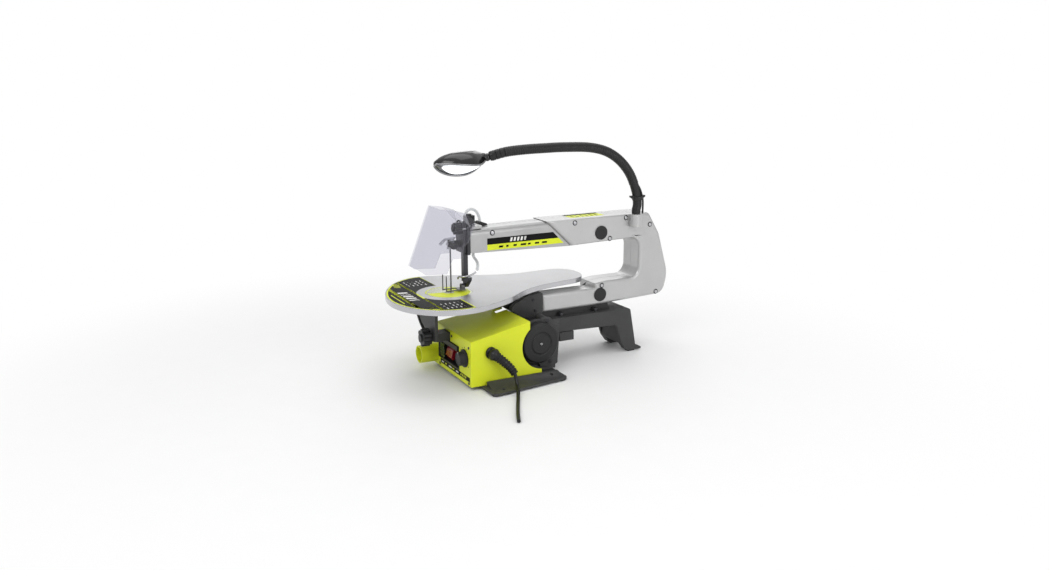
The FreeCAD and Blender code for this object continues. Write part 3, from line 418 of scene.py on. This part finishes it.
# ---------------------------------------------------------------- ribbed tubes and cables
GOOSE = [(391.5, 288.6), (391.6, 296.5), (393.6, 308), (390, 332), (375, 367), (351, 395), (319, 415),
         (279, 425),
         (224, 428), (182, 428)]
LAMP_X = 16.0
SLEEVE, BAND, GROOVE = 26, 8.6, 1.4     # the banded sleeve at the lamp's end: its length, pitch and groove
PLAIN = 62                              # the smooth foot of the neck
GOOSE_PATH = [(39, y, z) for y, z in GOOSE] + [(36, 141, 427), (27, 106, 423.5), (18.9, 78.3, 416.5)]


def ribbed(base, height, pitch):
    """A radius that rises and falls, for a segmented hose."""
    def radius(distance):
        phase = (distance / pitch) % 1
        return base + height * (1 - abs(2 * phase - 1) ** 3)
    return radius


def make_goose():
    """The neck with its ribs, end sleeve and cup, and the lamp's lead with its clip."""
    rib = ribbed(8.8, 0.7, 4.4)
    far = len(spline(GOOSE_PATH, 0.65)) * 0.65

    def radius(d):
        if d > far - SLEEVE:
            return 9.4 if (d - far + SLEEVE) % BAND > GROOVE else 8.4
        return 8.9 if d < PLAIN else rib(d)
    mesh = tube("gooseneck_ribs", GOOSE_PATH, radius, 0.65, 32)
    bm = bmesh.new()
    bm.from_mesh(mesh)
    ahead = (Vector((LAMP_X, 71, 414.3)) - Vector(GOOSE_PATH[-1])).normalized()
    cup = turned("cup", [(7.9, -2), (9.2, -2), (9.0, 1.2), (8.1, 3.4), (7.7, 3.4), (7.8, 1)],
                 GOOSE_PATH[-1], ahead, 32)
    bm.from_mesh(cup)
    bpy.data.meshes.remove(cup)
    bm.to_mesh(mesh)
    bm.free()
    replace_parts(piece("gooseneck_ribs", mesh, "rubber", "lamp_stalk"), "gooseneck")
    cable = [(45, 402.6, 288.4), (45.5, 402.8, 300), (46, 401.5, 318), (45.5, 395, 338), (43, 386, 352),
             (40, 381, 358)]
    mesh = tube("lamp_lead", cable, lambda d: 1.9, 1.0, 12)
    piece("lamp_lead", mesh, "rubber", "lamp_stalk")
    clip = tube("lead_clip", [(40, 393.4, 316), (39.8, 392.6, 324)], lambda d: 11 - 0.4 * abs(d - 4) / 4,
                0.75, 36)
    bm = bmesh.new()
    bm.from_mesh(clip)
    for reach in (-1, 1):
        wing = [(393 + 9 * reach, 317), (393 + 17 * reach, 322), (393 + 17 * reach, 325),
                (393 + 9 * reach, 325)]
        slab(bm, wing, 36, 43, 0, "x")
    bmesh.ops.recalc_face_normals(bm, faces=bm.faces)
    bm.to_mesh(clip)
    bm.free()
    piece("lead_clip", clip, "black_plastic", "lamp_stalk")


def make_boot():
    """The cord's boot: a collar, a ball-shaped swell and a ribbed tail that narrows."""
    path = [(108, 29.6, 68), (112, 30.5, 67.8), (120, 34, 65), (130, 45, 55), (136, 57, 42),
            (138.8, 63, 32)]

    def radius(d):
        if d < 3:
            return 11.4
        if d < 17:
            return 8.4 + 3.2 * math.sin(math.pi * (d - 3) / 14)
        rib = 0.8 if (d % 5.4) < 3.4 else -0.7
        return 8.6 - 0.045 * (d - 17) + rib
    mesh = tube("cord_boot", path, radius, 0.6, 32)
    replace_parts(piece("cord_boot", mesh, "rubber", "frame"), "cable_gland")


# ---------------------------------------------------------------- screws
def islands(node):
    """The boxes of a node's separate solids, in millimetres and in a fixed order."""
    bm = bmesh.new()
    bm.from_mesh(NODES[node].data)
    bmesh.ops.remove_doubles(bm, verts=bm.verts, dist=1e-6)
    left, boxes = set(bm.verts), []
    while left:
        stack, found = [left.pop()], []
        while stack:
            vert = stack.pop()
            found.append(vert.co / MM)
            for edge in vert.link_edges:
                other = edge.other_vert(vert)
                if other in left:
                    left.discard(other)
                    stack.append(other)
        boxes.append(([min(p[i] for p in found) for i in range(3)],
                      [max(p[i] for p in found) for i in range(3)]))
    bm.free()
    return sorted([[round(c, 3) for c in lo], [round(c, 3) for c in hi]] for lo, hi in boxes)


def head_rings(centre, axis, r, height, recess, outer_six=False):
    """A domed screw head with a six-sided recess, as rings of points."""
    turn = Vector((0, 0, 1)).rotation_difference(Vector(axis)).to_matrix()
    count = 24
    profile = [(r, 0, 0), (r, height * 0.55, 0), (r * 0.9, height * 0.88, 0), (r * 0.62, height, 0),
               (recess, height, 1), (recess * 0.94, height * 0.35, 1), (recess * 0.2, height * 0.28, 1)]
    rings = []
    for radius, h, six in profile:
        ring = []
        for k in range(count):
            a = 2 * math.pi * k / count
            hexed = 0.92 / math.cos((a + math.pi / 6) % (math.pi / 3) - math.pi / 6)
            rr = radius * (hexed if six or outer_six else 1)
            ring.append((Vector(centre) + turn @ Vector((rr * math.cos(a), rr * math.sin(a), h))) * MM)
        rings.append(ring)
    return rings


def make_screws(node, outer_six=False):
    """Every screw head of a node, facing away from the machine."""
    bm = bmesh.new()
    for lo, hi in islands(node):
        size = [b - a for a, b in zip(lo, hi)]
        k = 2 if outer_six else size.index(min(size[:2]))
        centre = [(a + b) / 2 for a, b in zip(lo, hi)]
        sign = -1 if k == 1 else 1
        centre[k] = hi[k] if sign < 0 else lo[k]
        axis = [sign if i == k else 0 for i in range(3)]
        r = max(size[i] for i in range(3) if i != k) / 2
        part = grid_mesh("head", head_rings(centre, axis, r * (0.97 if outer_six else 1), size[k], r * 0.5,
                                            outer_six))
        bright = k == 0 and (r > 3.5 or size[k] > 4)
        part.polygons.foreach_set("material_index", [int(bright)] * len(part.polygons))
        bm.from_mesh(part)
        bpy.data.meshes.remove(part)
        # a flat dark ring 0.1 mm thick round each side-facing head: painted shade of the counterbore it
        # sits in
        if k == 0 and not outer_six:
            counterbore_shade = turned("counterbore_shade", [(r + 0.1, 0.02), (r + 1.7, 0.02), (r + 1.7, 0.12), (r + 0.1, 0.12)],
                          centre, axis, 24)
            bm.from_mesh(counterbore_shade)
            bpy.data.meshes.remove(counterbore_shade)
    mesh = bpy.data.meshes.new(node + "_heads")
    bm.to_mesh(mesh)
    bm.free()
    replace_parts(piece(node + "_heads", mesh, ["dark_steel", "steel"], "frame"), node)


# ---------------------------------------------------------------- printed labels, all generic bars
TOP_Z = 163.0               # the table's upper face
INSERT_Y = -5               # the insert's centre
SHEET, INK = 0.1, 0.16      # heights of a label's sheet and of the print on it


def table_edge():
    """The table's outline about the insert's centre: its radius at each whole degree."""
    spots = []
    for v in NODES["table"].data.vertices:
        x, y, z = v.co / MM
        r = math.hypot(x, y - INSERT_Y)
        if abs(z - TOP_Z) < 0.01 and r > 70:
            spots.append((math.degrees(math.atan2(y - INSERT_Y, x)) % 360, r))
    spots.sort()
    spots = [(spots[-1][0] - 360, spots[-1][1])] + spots + [(spots[0][0] + 360, spots[0][1])]
    radii = []
    for degree in range(360):
        for (a0, r0), (a1, r1) in zip(spots, spots[1:]):
            if a0 <= degree <= a1 and a1 > a0:
                radii.append(r0 + (r1 - r0) * (degree - a0) / (a1 - a0))
                break
    return radii


def polar(angle, r):
    """A point of the table about the insert's centre."""
    a = math.radians(angle)
    return (r * math.cos(a), INSERT_Y + r * math.sin(a))


def make_table_label():
    """The dark band round the table's front: a lime border and stripes, and plain white and lime bars."""
    radii = table_edge()
    outer = {d: radii[d % 360] - 2.4 for d in range(180, 361)}
    low, inner = TOP_Z + 0.02, 61
    border = 2.8
    items = []
    for d in range(181, 359, 2):
        nxt = min(d + 2, 359)
        items.append(([polar(d, inner), polar(nxt, inner), polar(nxt, outer[nxt]), polar(d, outer[d])],
                      low, low + SHEET, 0))
        items.append(([polar(d, outer[d] - border), polar(nxt, outer[nxt] - border), polar(nxt, outer[nxt]),
                       polar(d, outer[d])], low + SHEET, low + INK, 1))

    def reach(y, side):
        """How far the label's lime border lets a band run at this distance from the front."""
        best = 0
        for d in range(181, 359):
            px, py = polar(d, outer[d] - border)
            nx, ny = polar(d + 1, outer[min(d + 1, 360)] - border)
            if (py - y) * (ny - y) <= 0 and py != ny and px * side > 0:
                best = px + (nx - px) * (y - py) / (ny - py)
        return best

    def band(y0, y1, index=1, pull=0.0):
        items.append(([(reach(y0, -1) + pull, y0), (reach(y0, 1) - pull, y0), (reach(y1, 1) - pull, y1),
                       (reach(y1, -1) + pull, y1)], low + SHEET, low + INK, index))

    band(-62.5, -66.5)
    band(-95.0, -102.0)
    band(-109.0, -111.0, pull=16)
    for side in (-1, 1):
        start, stop = 61.5 * side, (outer[359 if side > 0 else 181] - 0.5) * side
        items.append((box(min(start, stop), max(start, stop), -8.6, -6.2), low + SHEET, low + INK, 1))
        for k in range(4):
            u = side * (84 + 9 * k)
            items.append((lean(u, -84 + 2 * k, 3.2, 11, 6), low + SHEET, low + INK, 1))
        for row in range(5):
            for k in range(3):
                u = side * (80 + 15 * k) - 5
                wide = (9.5, 6.0, 8.0)[(row + k) % 3]
                items.append((box(u, u + wide, -20 - 8.6 * row, -18.2 - 8.6 * row), low + SHEET, low + INK,
                              2))
    for k in range(5):
        items.append((lean(-40 + 15 * k, -94, 8.5, 18, 5), low + SHEET, low + INK, 2))
    label = plates("table_label", items, ["ink_black", "ink_lime", "ink_white"], "tilting_table")
    label.data.polygons.foreach_set("use_smooth", [False] * len(label.data.polygons))


def make_insert_print():
    """The insert's lime field, left of and around the blade slot, and a thin lime arc along its left edge.
    """
    low = TOP_Z + 0.02
    items = []
    for d in range(-100, 170, 5):
        items.append(([polar(d, 10.5), polar(d + 5, 10.5), polar(d + 5, 41), polar(d, 41)], low, low + 0.08,
                      0))
    for d in range(170, 260, 5):
        items.append(([polar(d, 42), polar(d + 5, 42), polar(d + 5, 44.4), polar(d, 44.4)], low, low + 0.08,
                      0))
    plates("insert_print", items, ["ink_lime"], "tilting_table")


def make_side_labels():
    """The arm's two-coloured stripe and the plate on top of the housing."""
    near = 27.0
    black = [(64, 252), (64, 264), (206, 264.5), (218.5, 252)]
    lime = [(64, 241), (64, 252), (218.5, 252), (230, 241)]
    items = [(black, near, near + 0.14, 0), (lime, near, near + 0.16, 1)]
    for k in range(5):
        items.append((lean(112 + 7.4 * k, 254.6, 4.2, 7.2, 1.6), near + 0.14, near + 0.2, 2))
    for k, wide in enumerate((9, 5, 7, 12, 6, 9, 11)):
        u = 88 + 15.5 * k
        items.append((lean(u, 244.6, wide, 3.6, 0.8), near + 0.16, near + 0.22, 0))
    plates("arm_label", items, ["ink_black", "ink_lime", "ink_white"], "frame", "x")
    top = 287.0
    items = [(box(-17, 17, 252, 330), top, top + 0.14, 1), (box(-17, -8, 252, 330), top + 0.14, top + 0.2,
                                                            0)]
    for k in range(6):
        items.append((box(-4, 12, 260 + 11 * k, 263.5 + 11 * k), top + 0.14, top + 0.2, 0))
    plates("housing_label", items, ["ink_black", "ink_lime"], "frame", "z")


def make_panel_label():
    """The strip of plain bars below the switch and the dial."""
    face = -10.0
    items = [(box(-35, 102, 15, 23.6), face - 0.14, face, 0),
             (box(-35, 58, 15, 24.4), face - 0.16, face, 0)]
    for k, wide in enumerate((10, 7, 14, 9, 12)):
        items.append((box(-29 + 17 * k, -29 + 17 * k + wide, 18, 20.6), face - 0.24, face - 0.14,
                      1 if k % 2 else 2))
    for k in range(4):
        items.append((lean(60 + 7 * k, 17.6, 3.4, 4, 1.2), face - 0.24, face - 0.14, 1))
    plates("panel_label", items, ["ink_black", "ink_lime", "ink_white"], "frame", "y")


# ---------------------------------------------------------------- controls and lamp
def make_dial():
    """The speed dial: a skirt with scale marks, a fluted grip and a white pointer."""
    centre = Vector((80, -10.3, 56))
    rings, count = [], 96
    profile = [(17, 0, 0), (17, 2.0, 0), (16.3, 2.8, 0), (13.9, 3.2, 0), (13.6, 4.2, 0.6),
               (12.7, 12.2, 0.6),
               (11.9, 13.6, 0.2), (10.6, 14, 0), (9.8, 13.2, 0), (0.3, 13.2, 0)]
    for r, h, flute in profile:
        ring = []
        for k in range(count):
            a = 2 * math.pi * k / count
            rr = r - flute * (0.5 + 0.5 * math.cos(24 * a))
            ring.append((centre + Vector((rr * math.cos(a), -h, rr * math.sin(a)))) * MM)
        rings.append(ring)
    obj = piece("speed_dial", grid_mesh("speed_dial", rings), "black_plastic", "speed_dial")
    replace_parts(obj, "speed_knob")
    marks = [(lean(79.2, 65.8 - 0.2, 1.6, 3.0, 0), -24.0, -23.3, 0)]
    plates("dial_pointer", marks, ["ink_white"], "speed_dial", "y")
    items = []
    for k in range(11):
        a = math.radians(-130 + 26 * k)
        u, v = 80 + 20.3 * math.sin(a), 56 + 20.3 * math.cos(a)
        w = 0.6 if k % 5 else 1.1
        items.append((box(u - w, u + w, v - w, v + w), -10.16, -10.0, 0))
    plates("dial_scale", items, ["ink_black"], "frame", "y")


def make_switch_trim():
    """The raised rim over the switch and its tinted window."""
    items = [(box(-37, 53, 61.5, 70.5), -13.4, -11.2, 0), (box(-37, -33, 28, 61.5), -13.4, -11.2, 0)]
    plates("switch_rim", items, ["black_plastic"], "frame", "y")
    items = [(box(-32, -11, 31, 59), -12.4, -11.4, 0)]
    plates("switch_window", items, ["smoke"], "frame", "y")


# The lamp's hood: along its length, its half width, its top and its lower edge.
LAMP = [(64, 8, 421, 407), (58, 12, 424.5, 402), (48, 20, 426.5, 395.5), (34, 28, 427, 392),
        (16, 31, 426, 392),
        (-2, 29, 424, 394.5), (-18, 22, 420, 398.5), (-29, 13, 415, 402.5), (-35, 5, 411, 406)]


def lamp_row(t):
    """The hood's section at a place along its length, between the drawn ones."""
    i = min(int(t), len(LAMP) - 2)
    pts = [LAMP[max(i - 1, 0)], LAMP[i], LAMP[i + 1], LAMP[min(i + 2, len(LAMP) - 1)]]
    f = t - i
    out = []
    for p0, p1, p2, p3 in zip(*pts):
        out.append(0.5 * (2 * p1 + (p2 - p0) * f + (2 * p0 - 5 * p1 + 4 * p2 - p3) * f * f
                          + (3 * p1 - p0 - 3 * p2 + p3) * f ** 3))
    return out


LENS_REAR, LENS_LONG = 54, 77       # the lens's rear end and its length
LAMP_ROLL = Matrix.Rotation(math.radians(-24), 3, "Y")     # the hood is turned to show its lens
LAMP_AXIS = Vector((LAMP_X, 0, 412))


def rolled(x, y, z):
    """A point of the lamp head, in metres, after the head is turned about its own length."""
    return (LAMP_AXIS + LAMP_ROLL @ (Vector((x, y, z)) - LAMP_AXIS)) * MM


def hood_arc(row, inset, count=24):
    """Half an oval over the hood's lower edge, drawn in by the inset."""
    y, wide, top, low = row
    wide, high = max(wide - inset, 0.8), max(top - low - inset, 0.8)
    arc = []
    for k in range(count + 1):
        a = math.pi * k / count
        arc.append(rolled(LAMP_X + wide * math.cos(a), y, low + high * math.sin(a) ** 0.85))
    return arc


def make_lamp():
    """The lamp's hood with its neck, a grey patch over its top, rim, reflector dish and lens."""
    rows = [lamp_row(k / 6) for k in range(6 * (len(LAMP) - 1) + 1)]
    shell = grid_mesh("lamp_hood", [hood_arc(row, 0) + hood_arc(row, 1.8)[::-1] for row in rows])
    bm = bmesh.new()
    bm.from_mesh(shell)
    profile = [(7, -9), (8.6, -8), (8.6, -5.4), (7.2, -5), (7.2, -3.8), (8, -3.4), (8, -1.6), (6.4, -1.2),
               (6, 2)]
    profile += [(7.5 * math.sin(math.radians(a)), 4 - 7.5 * math.cos(math.radians(a)))
                for a in range(55, 176, 15)]
    neck = turned("neck", profile, (LAMP_X, 67, 414.3), (0, 1, 0))
    bm.from_mesh(neck)
    bpy.data.meshes.remove(neck)
    bm.to_mesh(shell)
    bm.free()
    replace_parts(piece("lamp_hood", shell, "gloss_black", "lamp_head", 50), "lamp_shell")
    # a thin grey patch over the middle of the hood's top
    cap = []
    for k in range(33):
        y, wide, top, low = lamp_row(1.5 + 5.2 * k / 32)
        spread = math.radians(40) * math.sin(math.pi * (k + 0.5) / 33) ** 0.6
        arc = []
        for m in range(17):
            a = math.pi / 2 + spread * (m / 8 - 1)
            height = (top - low + 0.4) * math.sin(a) ** 0.85
            arc.append(rolled(LAMP_X + (wide + 0.4) * math.cos(a), y, low + height))
        cap.append(arc)
    mesh = grid_mesh("lamp_grey_top", cap, closed=False, caps=False)
    obj = piece("lamp_grey_top", mesh, "grey_plastic", "lamp_head", 60)
    solid = obj.modifiers.new("thickness", "SOLIDIFY")
    solid.thickness = 0.5 * MM
    solid.offset = -1
    edge = [(LAMP_X + row[1] - 0.9, row[0], row[3] - 0.4) for row in rows[3:-2]]
    edge += [(2 * LAMP_X - x, y, z) for x, y, z in reversed(edge)]
    edge = [rolled(*p) / MM for p in edge]
    rim = tube("lamp_rim", edge + edge[:1], lambda d: 1.6, 1.2, 12)
    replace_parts(piece("lamp_rim", rim, "reflector", "lamp_head"), "lamp_bezel")
    dish = []
    for y, wide, top, low in rows[3:-2]:
        span = wide - 2
        under = [rolled(LAMP_X + span * u / 8, y, low + 1.6 + 3 * (1 - (u / 8) ** 2)) for u in range(-8, 9)]
        above = [rolled(LAMP_X + span * u / 8, y, low + 2.4 + 3 * (1 - (u / 8) ** 2)) for u in range(8, -9,
                                                                                                     -1)]
        dish.append(under + above)
    piece("lamp_dish", grid_mesh("lamp_dish", dish), "reflector", "lamp_head")
    glass = []
    for y, wide, top, low in rows:
        if not -21 < y < 52:
            continue
        span = (wide - 2) * math.sin(math.pi * (LENS_REAR - y) / LENS_LONG) ** 0.5 * 0.86
        under = [rolled(LAMP_X + span * u / 8, y, low + 0.8 - 1.4 * (1 - (u / 8) ** 2)) for u in range(-8,
                                                                                                       9)]
        above = [rolled(LAMP_X + span * u / 8, y, low + 1.8) for u in range(8, -9, -1)]
        glass.append(under + above)
    lens = grid_mesh("lamp_glass", glass)
    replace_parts(piece("lamp_glass", lens, "lens", "lamp_head"), "lamp_lens")


make_goose()
make_boot()
make_screws("case_screws")
make_screws("base_bolts", True)
make_table_label()
make_insert_print()
make_side_labels()
make_panel_label()
make_dial()
make_switch_trim()
make_lamp()


# ---------------------------------------------------------------- stage, light and camera
def area(name, place, target, size, power):
    """A soft white light that faces a target."""
    data = bpy.data.lights.new(name, "AREA")
    data.shape = "RECTANGLE"
    data.size, data.size_y = size
    data.energy = power
    obj = bpy.data.objects.new(name, data)
    bpy.context.collection.objects.link(obj)
    obj.location = place
    obj.rotation_euler = (Vector(target) - Vector(place)).to_track_quat("-Z", "Y").to_euler()


def floor_paper():
    """Pale paper that fades to plain white away from the saw, so the floor has no horizon."""
    mat = material("floor_paper", (0.84, 0.84, 0.84), 0.7, vary=0.005, bump=0.01, rim=0)
    tree = mat.node_tree
    coords = tree.nodes.new("ShaderNodeNewGeometry")
    length = tree.nodes.new("ShaderNodeVectorMath")
    length.operation = "LENGTH"
    link(tree, coords.outputs["Position"], length.inputs[0])
    fade = tree.nodes.new("ShaderNodeMapRange")
    fade.interpolation_type = "SMOOTHSTEP"
    fade.inputs["From Min"].default_value = 0.35
    fade.inputs["From Max"].default_value = 1.1
    link(tree, length.outputs["Value"], fade.inputs["Value"])
    glow = tree.nodes.new("ShaderNodeEmission")
    glow.inputs["Strength"].default_value = 1.0
    mix = tree.nodes.new("ShaderNodeMixShader")
    link(tree, fade.outputs["Result"], mix.inputs["Fac"])
    link(tree, tree.nodes["Principled BSDF"].outputs["BSDF"], mix.inputs[1])
    link(tree, glow.outputs["Emission"], mix.inputs[2])
    link(tree, mix.outputs["Shader"], tree.nodes["Material Output"].inputs["Surface"])
    return mat


def studio_world():
    """White behind the object; softer and darker towards the horizon for its light and reflections."""
    world = bpy.data.worlds.new("studio")
    world.use_nodes = True
    tree = world.node_tree
    back = tree.nodes["Background"]
    coords = tree.nodes.new("ShaderNodeTexCoord")
    split = tree.nodes.new("ShaderNodeSeparateXYZ")
    link(tree, coords.outputs["Generated"], split.inputs["Vector"])
    height = tree.nodes.new("ShaderNodeMapRange")
    height.inputs["To Min"].default_value = 0.42
    height.inputs["To Max"].default_value = 0.85
    link(tree, split.outputs["Z"], height.inputs["Value"])
    rays = tree.nodes.new("ShaderNodeLightPath")
    pick = tree.nodes.new("ShaderNodeMix")
    pick.inputs["B"].default_value = 1.0
    link(tree, rays.outputs["Is Camera Ray"], pick.inputs["Factor"])
    link(tree, height.outputs["Result"], pick.inputs["A"])
    link(tree, pick.outputs["Result"], back.inputs["Strength"])
    back.inputs["Color"].default_value = (1, 1, 1, 1)
    return world


def set_stage():
    """The floor, the world and four soft lights."""
    bm = bmesh.new()
    bmesh.ops.create_grid(bm, x_segments=1, y_segments=1, size=40)
    mesh = bpy.data.meshes.new("floor")
    bm.to_mesh(mesh)
    bm.free()
    floor = bpy.data.objects.new("floor", mesh)
    bpy.context.collection.objects.link(floor)
    mesh.materials.append(floor_paper())
    bpy.context.scene.world = studio_world()
    centre = (0, 0.15, 0.2)
    area("key", (1.0, -1.3, 1.7), centre, (1.2, 1.2), 13)
    area("top", (-0.2, 0.4, 2.2), centre, (2.0, 1.4), 11)
    area("side", (2.0, 0.6, 0.8), centre, (1.0, 1.2), 9)
    area("back", (-1.6, 1.2, 1.2), centre, (1.2, 1.2), 6)


def set_camera():
    """The main view, from the right of the front."""
    data = bpy.data.cameras.new("camera")
    data.sensor_width = 36.0
    data.lens = 30.86
    data.shift_x = 0.0134
    data.shift_y = 0.0015
    data.clip_start = 0.05
    data.clip_end = 20
    cam = bpy.data.objects.new("camera", data)
    bpy.context.collection.objects.link(cam)
    cam.location = (1.5234, -0.6518, 0.5695)
    aim = Vector((0, 0.1262, 0.1588)) - cam.location
    turn = aim.to_track_quat("-Z", "Y").to_matrix().to_4x4()
    cam.rotation_euler = (turn @ Matrix.Rotation(math.radians(-0.309), 4, "Z")).to_euler()
    bpy.context.scene.camera = cam


set_stage()
set_camera()
bpy.context.scene.view_settings.view_transform = "Standard"
